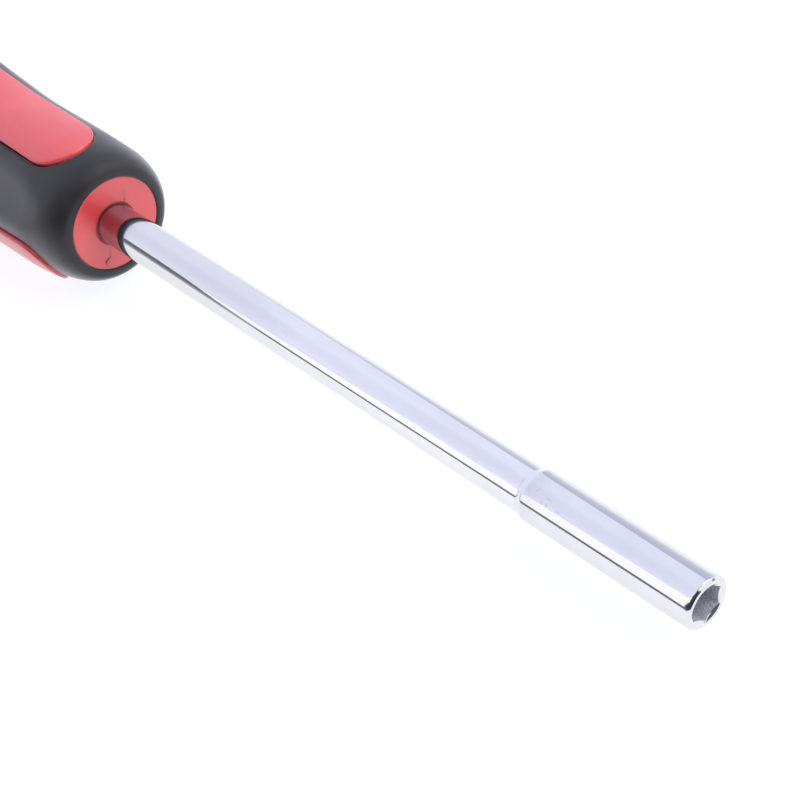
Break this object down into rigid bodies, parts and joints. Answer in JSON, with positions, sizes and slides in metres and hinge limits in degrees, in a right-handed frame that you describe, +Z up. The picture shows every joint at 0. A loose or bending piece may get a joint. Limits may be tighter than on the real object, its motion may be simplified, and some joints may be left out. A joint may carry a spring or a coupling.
{
  "type": "nut driver",
  "caption": "Hand nut driver with a hexagon socket on a plain round chrome blade and a hard red handle with a soft black overmoulded grip.",
  "frame": {"origin": "centre of the socket mouth, on the blade axis", "axes": "+X along the blade axis and out of the socket mouth, +Z up through the middle of the upper red rib, +Y to the left when looking along +X"},
  "size_m": [0.235, 0.0322, 0.0307],
  "materials": {
    "chrome_socket": "bright chrome plate with fine scuffs by the shoulder",
    "chrome_blade": "polished chrome plate",
    "core_plastic": "dark first-shot plastic, hidden inside the handle",
    "red_plastic": "semi-gloss moulded red plastic",
    "black_rubber": "satin soft-touch rubber"
  },
  "bodies": {
    "root": {"nut_socket": "chrome_socket", "blade": "chrome_blade", "inner_core": "core_plastic", "handle_shell": "red_plastic", "soft_grip": "black_rubber", "end_cap": "red_plastic"}
  },
  "joints": []
}
